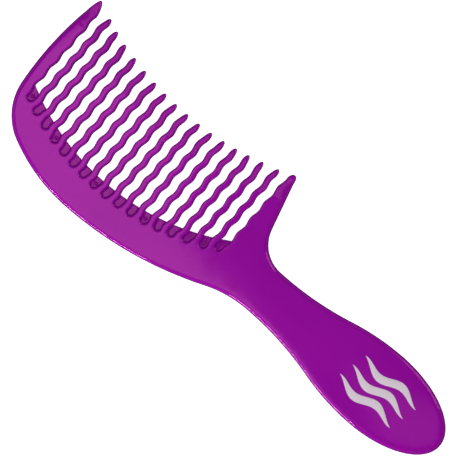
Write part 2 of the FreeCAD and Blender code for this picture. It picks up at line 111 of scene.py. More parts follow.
TOOTH_RIM = 0.8            # rounding of the tooth edges and the rims of the web recesses
RIM_STEPS = 6              # rings over a rounded edge
RIM_ROOM_SHARE = 0.84      # most that a rounding takes of the room inside the outline
RIM_ROOM_LIMIT = 0.9       # and after smoothing
RIM_SMOOTHING_ROUNDS = 8
RIM_HEIGHT_SHARE = 0.72    # most that a rounding takes of the wall's height
WALL_DRAFT = math.radians(1.0)
CROWN_DEPTH = 0.22         # how far the broad faces fall towards the outer edge
CROWN_REACH = 7.0
TAPER_OVERRUN = 0.3        # the teeth thin until this far past the tip arc
TAPER_EASING = 0.1         # share of the taper over which it sets in softly
TIP_DOME_LENGTH = 2.2      # the very tip thins a little more over this length
TIP_DOME_SHARE = 0.3
WEB_FILLET = 0.45
WEB_COLUMNS = 15           # points across a web
WEB_ROW_SPACING = 0.3
WEB_WALL_SPACING = 0.1     # between the recess wall's points that a web's fillet is measured from
WEB_OVERLAP = 0.02         # a web goes into the walls by this share of its width
WEB_EDGE_RADIUS = 0.55     # the free edge of a web is fully round
WEB_EDGE_LEANS = np.radians([80.0, 62.0, 44.0, 26.0, 10.0])
PIN_MARK_RISE = 0.3
PIN_MARK_SIDES = 32
PIN_MARK_RINGS = (         # (share of the radius, share of the rise), from the outside in
    (1.0, -0.2), (0.98, 0.3), (0.9, 0.8), (0.8, 1.0), (0.68, 1.0), (0.56, 0.8), (0.4, 0.25),
)
PIN_MARK_DISH = 0.15       # share of the rise at the mark's middle
PRINT_STEPS = 64           # along each printed wave
PRINT_END_HALF_WIDTH = 0.02
PRINT_SIDES = np.array([-1.0, -0.86, -0.4, 0.0, 0.4, 0.86, 1.0])
PRINT_LIFTS = np.array([0.005, 0.035, 0.045, 0.05, 0.045, 0.035, 0.005])
PRINT_SINK = 0.06          # the ink's underside lies this far below its edges
FINE_SPACING = 0.45        # between points along the teeth
WIDE_SPACING = 1.0         # along the outer edges
FILL_SPACING = 2.6         # inside the broad faces
FILL_CLEARANCE = 0.55      # of that spacing, between those points and the border
BORDER_SPACING = 1.5       # along the border that a piece shares with the spine
CURVE_POINTS = 240         # on each curve before it is divided evenly
CORNER_ROUNDS = 20         # enough to settle where a wavy edge meets the web arc
SAME_PLACE = 1e-9          # points closer than this are one point
POINTS_AT_ONCE = 400       # compared with all the others, to keep the tables small


# ---------------------------------------------------------------- curves

def sway(y):
    """Sideways offset at height y of every wavy edge."""
    return WAVE_HEIGHT * np.sin(2 * math.pi * (y - WAVE_ZERO_Y) / WAVE_LENGTH)


def sagging_arc(arc, x, deeper=0.0):
    """Height at x of the web arc or the tip arc."""
    centre_x, centre_y, radius = arc
    return centre_y - np.sqrt(np.maximum((radius + deeper) ** 2 - (x - centre_x) ** 2, 0.0))


def web_corner(edge_x):
    """Where the wavy edge that swings about edge_x meets the web arc."""
    x = edge_x
    for _ in range(CORNER_ROUNDS):
        y = sagging_arc(WEB_ARC, x)
        x = edge_x + sway(y)
    return np.array([x, y])


def unit(vector):
    return vector / np.linalg.norm(vector)


def line(start, end):
    return np.array([start, end], float)


def wavy_side(edge_x, start_y, end_y):
    """Points along a wavy edge that swings about edge_x."""
    y = np.linspace(start_y, end_y, CURVE_POINTS)
    return np.column_stack([edge_x + sway(y), y])


def arc_between(centre, start, end, turn):
    """Points from start to end about centre; turn is 1 for anticlockwise, -1 for clockwise."""
    first = math.atan2(start[1] - centre[1], start[0] - centre[0])
    last = math.atan2(end[1] - centre[1], end[0] - centre[0])
    sweep = (last - first) * turn % (2 * math.pi) * turn
    angle = first + sweep * np.linspace(0.0, 1.0, CURVE_POINTS)
    radius = math.hypot(start[0] - centre[0], start[1] - centre[1])
    return np.column_stack([centre[0] + radius * np.cos(angle), centre[1] + radius * np.sin(angle)])


def tip(right, left, length, lean_at, narrowing=0.0):
    """Points over a rounded tip from its right shoulder to its left one; lean_at gives the
    sideways lean at a height above the shoulders."""
    angle = np.linspace(0.0, math.pi, CURVE_POINTS)
    middle = (right + left) / 2
    half_width = (right[0] - left[0]) / 2
    across = np.cos(angle) * (1 - narrowing * np.sin(angle))
    rise = length * np.sin(angle)
    return np.column_stack([middle[0] + half_width * across + lean_at(rise), middle[1] + rise])


def settling_lean(shoulder_y):
    """How a tip leans as it carries on along the wave's heading and straightens."""
    turn = 2 * math.pi / WAVE_LENGTH
    heading = WAVE_HEIGHT * turn * math.cos(turn * (shoulder_y - WAVE_ZERO_Y))
    return lambda rise: heading * TIP_SETTLING * (1 - np.exp(-rise / TIP_SETTLING))


def spread(points, count):
    """This many points, evenly spaced along a run of points."""
    steps = np.linalg.norm(np.diff(points, axis=0), axis=1)
    run = np.concatenate([[0.0], np.cumsum(steps)])
    places = np.linspace(0.0, run[-1], count)
    return np.column_stack([np.interp(places, run, points[:, axis]) for axis in (0, 1)])


def resampled(curves, spacing):
    """Evenly spaced points along curves that follow each other, both ends kept."""
    points = np.concatenate(curves)
    steps = np.linalg.norm(np.diff(points, axis=0), axis=1)
    points = points[np.concatenate([[True], steps > SAME_PLACE])]
    return spread(points, max(2, round(steps.sum() / spacing) + 1))


def distance_to(points, others):
    """From each point to the nearest of the others."""
    near = np.empty(len(points))
    for first in range(0, len(points), POINTS_AT_ONCE):
        part = slice(first, first + POINTS_AT_ONCE)
        gap = points[part, None] - others[None]
        near[part] = np.sqrt((gap ** 2).sum(axis=2).min(axis=1))
    return near


# ---------------------------------------------------------------- outline, piece by piece

TOE_CENTRE = np.array([TOE_X + TOE_EDGE_RADIUS, TOE_Y])
TOE_ROOT = web_corner(TOE_INNER_X)
HEEL_ROOT = web_corner(HEEL_INNER_X)


def toe_edge_point(y):
    return np.array([TOE_CENTRE[0] - math.sqrt(TOE_EDGE_RADIUS ** 2 - (y - TOE_CENTRE[1]) ** 2), y])


def heel_edge_point(y):
    return np.array([HEEL_EDGE[0] + (HEEL_EDGE[1] - y) * math.tan(HEEL_EDGE_LEAN), y])


def back_outline():
    """The spine's outer edge, from the toe round its lowest point to the neck."""
    front_centre = BACK + [0.0, FRONT_BACK_RADIUS]
    rear_centre = BACK + [0.0, REAR_BACK_RADIUS]
    from_toe = TOE_EDGE_RADIUS - TOE_CORNER_RADIUS
    from_back = FRONT_BACK_RADIUS - TOE_CORNER_RADIUS
    span = front_centre - TOE_CENTRE
    length = np.linalg.norm(span)
    along = (length ** 2 + from_toe ** 2 - from_back ** 2) / (2 * length)
    across = math.sqrt(from_toe ** 2 - along ** 2)
    corner = TOE_CENTRE + span / length * along + np.array([-span[1], span[0]]) / length * across
    corner_start = corner + unit(corner - TOE_CENTRE) * TOE_CORNER_RADIUS
    corner_end = corner + unit(corner - front_centre) * TOE_CORNER_RADIUS

    bottom = HANDLE_AXIS_Y - NECK_HALF_WIDTH
    reach = REAR_BACK_RADIUS + NECK_FILLET_RADIUS
    drop = rear_centre[1] - (bottom - NECK_FILLET_RADIUS)
    fillet = np.array([BACK[0] + math.sqrt(reach ** 2 - drop ** 2), bottom - NECK_FILLET_RADIUS])
    fillet_start = fillet + unit(rear_centre - fillet) * NECK_FILLET_RADIUS
    fillet_end = fillet + [0.0, NECK_FILLET_RADIUS]
    return [
        arc_between(TOE_CENTRE, toe_edge_point(TOE_ROOT[1]), corner_start, 1),
        arc_between(corner, corner_start, corner_end, 1),
        arc_between(front_centre, corner_end, BACK, 1),
        arc_between(rear_centre, BACK, fillet_start, 1),
        arc_between(fillet, fillet_start, fillet_end, -1),
        line(fillet_end, [NECK_X, bottom]),
    ]


def handle_outline():
    """Round the handle, from the lower side of the neck to its upper side."""
    run = BELLY_X - NECK_X
    turn = 2 * math.atan((BELLY_HALF_WIDTH - NECK_HALF_WIDTH) / run)
    bulge_radius = run / math.sin(turn) - NECK_CURVE_RADIUS
    hollow = np.array([NECK_X, -NECK_HALF_WIDTH - NECK_CURVE_RADIUS])
    bulge = np.array([BELLY_X, bulge_radius - BELLY_HALF_WIDTH])
    change = hollow + NECK_CURVE_RADIUS * np.array([math.sin(turn), math.cos(turn)])
    lower = np.concatenate([
        arc_between(hollow, np.array([NECK_X, -NECK_HALF_WIDTH]), change, -1),
        arc_between(bulge, change, np.array([BELLY_X, -BELLY_HALF_WIDTH]), 1),
    ])
    angle = np.linspace(-math.pi / 2, math.pi / 2, 2 * CURVE_POINTS)
    end = np.column_stack([BELLY_X + (HANDLE_END_X - BELLY_X) * np.cos(angle),
                           BELLY_HALF_WIDTH * np.sin(angle)])
    upper = lower[::-1] * [1.0, -1.0]
    return [part + [0.0, HANDLE_AXIS_Y] for part in (lower, end, upper)]


def heel_corner_outline():
    """From the upper side of the neck round the hollow corner to the heel guard tooth."""
    top = HANDLE_AXIS_Y + NECK_HALF_WIDTH
    centre = heel_edge_point(top + HEEL_FILLET_RADIUS)
    centre = centre + [HEEL_FILLET_RADIUS / math.cos(HEEL_EDGE_LEAN), 0.0]
    start = centre - [0.0, HEEL_FILLET_RADIUS]
    end = centre - HEEL_FILLET_RADIUS * np.array([math.cos(HEEL_EDGE_LEAN), math.sin(HEEL_EDGE_LEAN)])
    return [
        line([NECK_X, top], start),
        arc_between(centre, start, end, -1),
        line(end, heel_edge_point(HEEL_CUT_Y)),
    ]


def heel_tooth_outlines():
    """The heel guard tooth's outer edge, and its tip and inner edge."""
    inner = wavy_side(HEEL_INNER_X, HEEL_EDGE[1], HEEL_ROOT[1])
    outer = [line(heel_edge_point(HEEL_CUT_Y), HEEL_EDGE)]
    return outer, [tip(HEEL_EDGE, inner[0], HEEL_TIP_LENGTH, lambda rise: 0.0 * rise), inner]


def toe_tooth_outlines():
    """The front guard tooth's inner edge and tip, and its outer edge."""
    shoulder_y = TOE_TIP_Y - TOE_TIP_LENGTH
    inner = wavy_side(TOE_INNER_X, TOE_ROOT[1], shoulder_y)
    shoulder = toe_edge_point(shoulder_y)
    outer = [arc_between(TOE_CENTRE, shoulder, toe_edge_point(TOE_ROOT[1]), 1)]
    over = tip(inner[-1], shoulder, TOE_TIP_LENGTH,
               lambda rise: -TOE_TIP_LEAN * (rise / TOE_TIP_LENGTH) ** 2, TOE_TIP_NARROWING)
    return [inner, over], outer


def tooth_outline(number):
    """Up the right side of a wavy tooth, over its tip and down its left side."""
    axis_x = FIRST_TOOTH_X + number * TOOTH_PITCH
    half_width = TOOTH_WIDTH / 2
    shoulder_y = sagging_arc(TIP_ARC, axis_x) - TIP_LENGTH
    right = wavy_side(axis_x + half_width, web_corner(axis_x + half_width)[1], shoulder_y)
    left = wavy_side(axis_x - half_width, shoulder_y, web_corner(axis_x - half_width)[1])
    return [right, tip(right[-1], left[0], TIP_LENGTH, settling_lean(shoulder_y)), left]


def slot_sides(slot):
    """Where the two wavy sides of a slot swing about; slots count from the toe, from 0."""
    middle = FIRST_TOOTH_X + TOOTH_PITCH * (slot - 0.5)
    return middle - GAP / 2, middle + GAP / 2


def recess_outline(slot):
    """Down the right side of a web recess, round its inner end and up its left side."""
    left_x, right_x = slot_sides(slot)
    inner_y = sagging_arc(WEB_ARC, (left_x + right_x) / 2, WEB_DEPTH) + GAP / 2
    right = wavy_side(right_x, web_corner(right_x)[1], inner_y)
    left = wavy_side(left_x, inner_y, web_corner(left_x)[1])
    return [right, arc_between((right[-1] + left[0]) / 2, right[-1], left[0], -1), left]


def outline_runs():
    """(piece, rim radius, points) for each run of the outline, anticlockwise and closed."""
    heel_outer, heel_inner = heel_tooth_outlines()
    toe_inner, toe_outer = toe_tooth_outlines()
    runs = [
        ("spine", EDGE_RADIUS, resampled(back_outline(), WIDE_SPACING)),
        ("handle", EDGE_RADIUS, resampled(handle_outline(), WIDE_SPACING)),
        ("spine", EDGE_RADIUS, resampled(heel_corner_outline(), WIDE_SPACING)),
        ("heel_guard_tooth", EDGE_RADIUS, resampled(heel_outer, FINE_SPACING)),
        ("heel_guard_tooth", TOOTH_RIM, resampled(heel_inner, FINE_SPACING)),
    ]
    for number in reversed(range(TOOTH_COUNT)):
        runs.append(("spine", TOOTH_RIM, resampled(recess_outline(number + 1), FINE_SPACING)))
        runs.append((f"wave_tooth_{number + 1:02d}", TOOTH_RIM,
                     resampled(tooth_outline(number), FINE_SPACING)))
    runs.append(("spine", TOOTH_RIM, resampled(recess_outline(0), FINE_SPACING)))
    runs.append(("front_guard_tooth", TOOTH_RIM, resampled(toe_inner, FINE_SPACING)))
    runs.append(("front_guard_tooth", EDGE_RADIUS, resampled(toe_outer, FINE_SPACING)))
    return runs


# ---------------------------------------------------------------- offset rings

def inward_normals(points):
    """Unit normals to the left of a closed, anticlockwise line of points."""
    along = np.roll(points, -1, axis=0) - np.roll(points, 1, axis=0)
    along /= np.linalg.norm(along, axis=1)[:, None]
    return np.column_stack([-along[:, 1], along[:, 0]])


def room_inside(points, inward):
    """At each point, the radius of the largest circle inside the outline that touches it there."""
    unbounded = 1e3
    just_inside = 1e-6
    room = np.empty(len(points))
    for first in range(0, len(points), POINTS_AT_ONCE):
        part = slice(first, first + POINTS_AT_ONCE)
        gap = points[None] - points[part, None]
        towards = (gap * inward[part, None]).sum(axis=2)
        square = (gap ** 2).sum(axis=2)
        radius = square / (2 * np.maximum(towards, just_inside))
        room[part] = np.where(towards > just_inside, radius, unbounded).min(axis=1)
    return room


def rim_widths(points, inward, wanted):
    """The wanted rounding at each point, less where the material is too narrow for it."""
    room = room_inside(points, inward)
    width = np.minimum(wanted, RIM_ROOM_SHARE * room)
    for _ in range(RIM_SMOOTHING_ROUNDS):
        width = (np.roll(width, 1) + 2 * width + np.roll(width, -1)) / 4
    return np.minimum(width, RIM_ROOM_LIMIT * room)


# ---------------------------------------------------------------- the moulding's heights

def half_thickness(points):
    """How far the front face stands above the middle plane, before its edges are rounded."""
    x, y = points.T
    full = COMB_THICKNESS / 2
    end_y = sagging_arc(TIP_ARC, x) + TAPER_OVERRUN
    share = np.clip((y - end_y + TAPER_LENGTH) / TAPER_LENGTH, 0.0, 1.0)
    eased = share ** 2 / (2 * TAPER_EASING)
    soft = np.where(share < TAPER_EASING, eased, share - TAPER_EASING / 2) / (1 - TAPER_EASING / 2)
    height = full - (full - TIP_THICKNESS / 2) * soft
    dome = np.clip((y - end_y + TIP_DOME_LENGTH) / TIP_DOME_LENGTH, 0.0, 1.0)
    return height * (1 - TIP_DOME_SHARE * dome ** 2)


def crown_drop(points, outer_edge):
    """How far the broad faces have fallen towards the comb's outer edge."""
    return CROWN_DEPTH * np.exp(-(distance_to(points, outer_edge) / CROWN_REACH) ** 2)


def front_face(points, outer_edge):
    """How far the crowned front face stands above the middle plane."""
    return half_thickness(points) - crown_drop(points, outer_edge)


# ---------------------------------------------------------------- mesh building

class Skin:
    """Points and faces of one closed shape; each face belongs to a named piece."""

    def __init__(self):
        self.points = []
        self.faces = {}
        self.caps = {}

    def add_points(self, points):
        first = len(self.points)
        self.points.extend(map(tuple, points))
        return list(range(first, len(self.points)))

    def add_face(self, piece, face):
        self.faces.setdefault(piece, []).append(tuple(face))

    def add_cap(self, piece, face):
        self.caps.setdefault(piece, []).append(tuple(face))

    def normals(self):
        """Area-weighted normals, so the broad faces stay flat up to their rounded edges."""
        points = np.array(self.points)
        total = np.zeros_like(points)
        for faces in self.faces.values():
            for size in (3, 4):
                corners = np.array([face for face in faces if len(face) == size], int)
                if len(corners):
                    place = points[corners]
                    if size == 3:
                        area = np.cross(place[:, 1] - place[:, 0], place[:, 2] - place[:, 0])
                    else:
                        area = np.cross(place[:, 2] - place[:, 0], place[:, 3] - place[:, 1])
                    for corner in range(size):
                        np.add.at(total, corners[:, corner], area)
        length = np.linalg.norm(total, axis=1)
        return total / np.where(length > 0, length, 1.0)[:, None]


def filled(border_points, inside_points):
    """Triangles that fill a closed border. Numbers past the border's are the inside points."""
    count = len(border_points)
    places = [Vector(point) for point in np.concatenate([border_points, inside_points])]
    edges = [(k, (k + 1) % count) for k in range(count)]
    only_inside = 1
    result = delaunay_2d_cdt(places, edges, [], only_inside, 1e-7)
    faces, sources = result[2], result[3]
    return [tuple(sources[corner][0] for corner in face) for face in faces]


def inside(polygon, points):
    """Which points lie inside a closed polygon."""
    hit = np.zeros(len(points), bool)
    for (x1, y1), (x2, y2) in zip(polygon, np.roll(polygon, -1, axis=0)):
        crosses = (y1 > points[:, 1]) != (y2 > points[:, 1])
        if crosses.any():
            x = x1 + (points[:, 1] - y1) / ((y2 - y1) or 1.0) * (x2 - x1)
            hit ^= crosses & (points[:, 0] < x)
    return hit


def grid_inside(polygon, spacing):
    """Points of a grid of equal-sided triangles, inside a polygon and clear of its edge."""
    low, high = polygon.min(axis=0), polygon.max(axis=0)
    rows = np.arange(low[1], high[1], spacing * math.sqrt(0.75))
    points = np.array([
        (x + (number % 2) * spacing / 2, y)
        for number, y in enumerate(rows)
        for x in np.arange(low[0], high[0], spacing)
    ])
    if len(points):
        points = points[inside(polygon, points)]
    if not len(points):
        return np.empty((0, 2))
    return points[distance_to(points, polygon) > spacing * FILL_CLEARANCE]


def add_rings(skin, outline, rims, outer_edge):
    """Rings of points from the outline in the middle plane up the wall and over its edge."""
    inward = inward_normals(outline)
    width = rim_widths(outline, inward, rims)
    wall_height = half_thickness(outline)
    rim_height = np.minimum(rims, RIM_HEIGHT_SHARE * wall_height)
    lean_in = np.tan(WALL_DRAFT) * (wall_height - rim_height)
    rings = [skin.add_points(np.column_stack([outline, np.zeros(len(outline))]))]
    for step in range(RIM_STEPS + 1):
        angle = math.pi / 2 * step / RIM_STEPS
        offset = lean_in + (width - lean_in) * (1 - math.cos(angle))
        ring = outline + inward * offset[:, None]
        height = front_face(ring, outer_edge) - rim_height * (1 - math.sin(angle))
        rings.append(skin.add_points(np.column_stack([ring, height])))
    return rings


def add_borders(skin, ring, owners, outer_edge):
    """The straight border across the inner ring that each other piece shares with the spine,
    as (piece, where it starts on the ring, how many steps on it ends, points between)."""
    borders = []
    first = 0
    for piece, stretch in itertools.groupby(owners):
        length = len(list(stretch))
        if piece != "spine":
            ends = ring[first], ring[(first + length) % len(ring)]
            start, end = (np.array(skin.points[number][:2]) for number in ends)
            steps = max(2, round(np.linalg.norm(end - start) / BORDER_SPACING) + 1)
            between = start + np.linspace(0.0, 1.0, steps)[1:-1, None] * (end - start)
            height = front_face(between, outer_edge)
            borders.append((piece, first, length, skin.add_points(np.column_stack([between, height]))))
        first += length
    return borders


def add_walls(skin, rings, owners):
    """Four-sided faces between the rings."""
    for k, owner in enumerate(owners):
        after = (k + 1) % len(owners)
        for low, high in zip(rings[:-1], rings[1:]):
            skin.add_face(owner, (low[k], low[after], high[after], high[k]))


def fill_face(skin, piece, border, outer_edge):
    """The broad face of one piece inside its border."""
    plan = np.array([skin.points[number][:2] for number in border])
    points = grid_inside(plan, FILL_SPACING)
    added = skin.add_points(np.column_stack([points, front_face(points, outer_edge)]))
    everything = list(border) + added
    for face in filled(plan, points):
        skin.add_face(piece, [everything[corner] for corner in face])


def add_front(skin, ring, borders, outer_edge):
    """The broad faces inside the inner ring, one for each piece and the spine's last."""
    spine_border = []
    after = 0
    for piece, first, length, chord in borders:
        stretch = [ring[k % len(ring)] for k in range(first, first + length + 1)]
        fill_face(skin, piece, stretch + chord[::-1], outer_edge)
        spine_border += ring[after:first + 1] + chord
        after = first + length
    fill_face(skin, "spine", spine_border + ring[after:], outer_edge)


def mirror_to_back(skin, outline):
    """The back face mirrors the front one, and meets it at the outline in the middle plane."""
    mirror = {number: number for number in outline}
    for number in range(len(skin.points)):
        if number not in mirror:
            x, y, z = skin.points[number]
            mirror[number] = skin.add_points([(x, y, -z)])[0]
    for faces in skin.faces.values():
        faces += [tuple(mirror[corner] for corner in reversed(face)) for face in faces]
    return mirror


def add_caps(skin, rings, borders, mirror):
    """Flat caps that close each piece along its border with the spine."""
    for piece, first, length, chord in borders:
        last = (first + length) % len(rings[0])
        path = [ring[first] for ring in rings] + chord + [ring[last] for ring in reversed(rings)]
        for one, two in zip(path[:-1], path[1:]):
            cap = list(dict.fromkeys([one, two, mirror[two], mirror[one]]))
            skin.add_cap("spine", cap[::-1])
            skin.add_cap(piece, cap)


def build_moulding():
    """The whole comb but its webs, as one skin about the middle plane, in millimetres."""
    runs = outline_runs()
    outline = np.concatenate([points[:-1] for _, _, points in runs])
    rims = np.concatenate([np.full(len(points) - 1, rim) for _, rim, points in runs])
    owners = [piece for piece, _, points in runs for _ in range(len(points) - 1)]
    outer_edge = outline[rims == EDGE_RADIUS]
    skin = Skin()
    rings = add_rings(skin, outline, rims, outer_edge)
    borders = add_borders(skin, rings[-1], owners, outer_edge)
    add_walls(skin, rings, owners)
    add_front(skin, rings[-1], borders, outer_edge)
    mirror = mirror_to_back(skin, rings[0])
    add_caps(skin, rings, borders, mirror)
    return skin


def web_rows(slot):
    """Rows of points over a web's front face, from its free edge to the recess's inner end."""
    wall = resampled(recess_outline(slot), WEB_WALL_SPACING)
    lowest = int(np.argmin(wall[:, 1]))
    sides = wall[:lowest + 1], wall[lowest:][::-1]
    count = max(len(resampled([side], WEB_ROW_SPACING)) for side in sides)
    right, left = (spread(side, count) for side in sides)
    share = (1 - np.cos(np.linspace(0.0, math.pi, WEB_COLUMNS))) / 2
    share = share + WEB_OVERLAP * (2 * share - 1)
    rows = []
    for number in range(count - 1):
        plan = left[number] + share[:, None] * (right[number] - left[number])
        rise = 1 - np.clip(distance_to(plan, wall) / WEB_FILLET, 0.0, 1.0)
        height = WEB_THICKNESS / 2 + WEB_FILLET * (1 - np.sqrt(1 - rise ** 2))
        if number == 0:
            for lean in WEB_EDGE_LEANS:
                edge = plan - [0.0, WEB_EDGE_RADIUS * (1 - np.sin(lean))]
                drop = WEB_EDGE_RADIUS * (1 - np.cos(lean))
                rows.append(np.column_stack([edge, height - drop]))
        elif number * WEB_ROW_SPACING > WEB_EDGE_RADIUS:
            rows.append(np.column_stack([plan, height]))
    end = wall[lowest] - [0.0, GAP * WEB_OVERLAP]
    return rows, (*end, WEB_THICKNESS / 2 + WEB_FILLET)


def build_web(slot):
    """One thin web, filleted up to the walls of its recess, with a soft free edge."""
    rows, end = web_rows(slot)
    skin = Skin()
    top = [skin.add_points(row) for row in rows]
    top.append(skin.add_points([end]) * WEB_COLUMNS)
    for one, two in zip(top[:-1], top[1:]):
        for k in range(WEB_COLUMNS - 1):
            skin.add_face("web", dict.fromkeys((one[k], two[k], two[k + 1], one[k + 1])))
    above = len(skin.points)
    skin.add_points([(x, y, -z) for x, y, z in skin.points])
    skin.faces["web"] += [tuple(c + above for c in reversed(face)) for face in skin.faces["web"]]
    edge = [row[0] for row in reversed(top)] + top[0][1:-1] + [row[-1] for row in top[:-1]]
    for one, two in zip(edge, edge[1:] + edge[:1]):
        skin.add_face("web", (one, one + above, two + above, two))
    return skin


def build_pin_mark(slot):
    """The round mark that an ejector pin leaves on a web."""
    x = FIRST_TOOTH_X + TOOTH_PITCH * (slot - 0.5)
    y = sagging_arc(WEB_ARC, x, PIN_MARK_DEPTH)
    x += sway(y)
    half = WEB_THICKNESS / 2
    skin = Skin()
    angles = np.linspace(0.0, 2 * math.pi, PIN_MARK_SIDES + 1)[:-1]
    rings = []
    for radius, height in PIN_MARK_RINGS:
        ring = np.column_stack([
            x + PIN_MARK_RADIUS * radius * np.cos(angles),
            y + PIN_MARK_RADIUS * radius * np.sin(angles),
            np.full(len(angles), half + PIN_MARK_RISE * height),
        ])
        rings.append(skin.add_points(ring))
    middle = skin.add_points([(x, y, half + PIN_MARK_RISE * PIN_MARK_DISH),
                              (x, y, half - PIN_MARK_RISE)])
    for k in range(PIN_MARK_SIDES):
        after = (k + 1) % PIN_MARK_SIDES
        for low, high in zip(rings[:-1], rings[1:]):
            skin.add_face("mark", (low[k], low[after], high[after], high[k]))
        skin.add_face("mark", (rings[-1][k], rings[-1][after], middle[0]))
        skin.add_face("mark", (rings[0][after], rings[0][k], middle[1]))
    return skin


def make_object(name, parts):
    """One mesh object from (points, normals, faces, caps) parts, in metres above the floor."""
    points, faces, corner_normals = [], [], []
    for part_points, part_normals, part_faces, part_caps in parts:
        used = sorted({corner for face in part_faces + part_caps for corner in face})
        place = {number: len(points) + spot for spot, number in enumerate(used)}
        points += [part_points[number] for number in used]
        for face in part_faces:
            faces.append([place[corner] for corner in face])
            corner_normals += [part_normals[corner] for corner in face]
        for face in part_caps:
            faces.append([place[corner] for corner in face])
            corners = [np.array(part_points[corner]) for corner in face]
            flat = unit(np.cross(corners[1] - corners[0], corners[-1] - corners[0]))
            corner_normals += [flat for _ in face]
    metres = (np.array(points) + [0.0, 0.0, COMB_THICKNESS / 2]) * MM
    mesh = bpy.data.meshes.new(name)
    mesh.from_pydata(metres.tolist(), [], faces)
    mesh.update()
    mesh.polygons.foreach_set("use_smooth", [True] * len(mesh.polygons))
    mesh.normals_split_custom_set([tuple(normal) for normal in corner_normals])
    obj = bpy.data.objects.new(name, mesh)
    bpy.context.scene.collection.objects.link(obj)
    return obj


def part_of(skin, piece):
    """What make_object needs of one piece of a skin."""
    return skin.points, skin.normals(), skin.faces[piece], skin.caps.get(piece, [])


# ---------------------------------------------------------------- materials

def new_material(name):
    material = bpy.data.materials.new(name)
    material.use_nodes = True
    nodes = material.node_tree.nodes
    return material, nodes, material.node_tree.links, nodes["Principled BSDF"]


def noise(nodes, links, scale, detail=2.0, roughness=0.5):
    """Noise in object space; every piece's object is at the origin, so it runs on across pieces."""
    place = nodes.new("ShaderNodeTexCoord")
    texture = nodes.new("ShaderNodeTexNoise")
    texture.inputs["Scale"].default_value = scale
    texture.inputs["Detail"].default_value = detail
    texture.inputs["Roughness"].default_value = roughness
    links.new(place.outputs["Object"], texture.inputs["Vector"])
    return texture.outputs["Fac"]


def to_range(nodes, links, value, low, high, start=0.3, end=0.7):
    """Value, which runs mostly from start to end, spread over low to high."""
    node = nodes.new("ShaderNodeMapRange")
    for socket, number in (("From Min", start), ("From Max", end), ("To Min", low), ("To Max", high)):
        node.inputs[socket].default_value = number
    links.new(value, node.inputs["Value"])
    return node.outputs["Result"]


def mixed_colour(nodes, links, share, first, second):
    node = nodes.new("ShaderNodeMix")
    node.data_type = "RGBA"
    links.new(share, node.inputs["Factor"])
    for socket, colour in (("A", first), ("B", second)):
        found = next(s for s in node.inputs if s.name == socket and s.type == "RGBA")
        found.default_value = (*colour, 1.0)
    return next(s for s in node.outputs if s.type == "RGBA")


def bump(nodes, links, height, distance, strength, below=None):
    node = nodes.new("ShaderNodeBump")
    node.inputs["Distance"].default_value = distance
    node.inputs["Strength"].default_value = strength
    links.new(height, node.inputs["Height"])
    if below is not None:
        links.new(below, node.inputs["Normal"])
    return node.outputs["Normal"]


PLASTIC_DARKER = (0.226, 0.0025, 0.262)
PLASTIC_LIGHTER = (0.246, 0.0031, 0.280)
PLASTIC_REFLECTION = (1.0, 0.22, 0.52, 1.0)
INK_THINNER = (0.50, 0.42, 0.49)
INK_THICKER = (0.62, 0.55, 0.61)


def moulded_plastic():
    """Dyed plastic off a polished mould: faint flow clouds, a fine skin and handling marks."""
    material, nodes, links, shader = new_material("comb_plastic")
    clouds = to_range(nodes, links, noise(nodes, links, 28.0, 3.0), 0.0, 1.0)
    colour = mixed_colour(nodes, links, clouds, PLASTIC_DARKER, PLASTIC_LIGHTER)
    links.new(colour, shader.inputs["Base Color"])
    handled = to_range(nodes, links, noise(nodes, links, 140.0, 4.0, 0.6), 0.06, 0.085, 0.2, 0.8)
    links.new(handled, shader.inputs["Roughness"])
    skin = bump(nodes, links, noise(nodes, links, 1400.0, 2.0), 0.00004, 0.25)
    waves = bump(nodes, links, noise(nodes, links, 75.0, 1.0), 0.0003, 0.12, skin)
    links.new(waves, shader.inputs["Normal"])
    shader.inputs["IOR"].default_value = 1.5
    shader.inputs["Specular Tint"].default_value = PLASTIC_REFLECTION
    return material


def screen_ink():
    """Pale matt ink, a little thinner here and there."""
    material, nodes, links, shader = new_material("print_ink")
    grain = to_range(nodes, links, noise(nodes, links, 2600.0, 3.0, 0.65), 0.0, 1.0)
    colour = mixed_colour(nodes, links, grain, INK_THINNER, INK_THICKER)
    links.new(colour, shader.inputs["Base Color"])
    links.new(to_range(nodes, links, grain, 0.5, 0.66, 0.0, 1.0), shader.inputs["Roughness"])
    links.new(bump(nodes, links, grain, 0.00002, 0.4), shader.inputs["Normal"])
    return material


# ---------------------------------------------------------------- the comb's pieces

def build_print():
    """Three tapered waves of ink that follow the handle's front face."""
    handle_edge = resampled(handle_outline(), WIDE_SPACING)
    skin = Skin()
    for row in (-1, 0, 1):
        sections = []
        for step in range(PRINT_STEPS + 1):
            along = 2 * step / PRINT_STEPS - 1
            swing = PRINT_SWING * math.sin(math.pi * PRINT_TURNS * along)
            half_width = PRINT_HALF_WIDTH * (1 - along ** 2) + PRINT_END_HALF_WIDTH
            x = PRINT_X + along * PRINT_LENGTH / 2 + PRINT_STAGGER * row
            y = HANDLE_AXIS_Y + row * PRINT_PITCH + swing
            plan = np.array([(x, y + half_width * side) for side in PRINT_SIDES])
            height = COMB_THICKNESS / 2 - crown_drop(plan, handle_edge) + PRINT_LIFTS
            top = skin.add_points(np.column_stack([plan, height]))
            sunk = np.column_stack([plan[[0, -1]], height[[0, -1]] - PRINT_SINK])
            sections.append(top + skin.add_points(sunk)[::-1])
        for one, two in zip(sections[:-1], sections[1:]):
            for k in range(len(one)):
                after = (k + 1) % len(one)
                skin.add_face("print", (one[k], two[k], two[after], one[after]))
        skin.add_cap("print", sections[0])
        skin.add_cap("print", sections[-1][::-1])
    return skin


moulding = build_moulding()
plastic = moulded_plastic()
ink = screen_ink()
normals = moulding.normals()

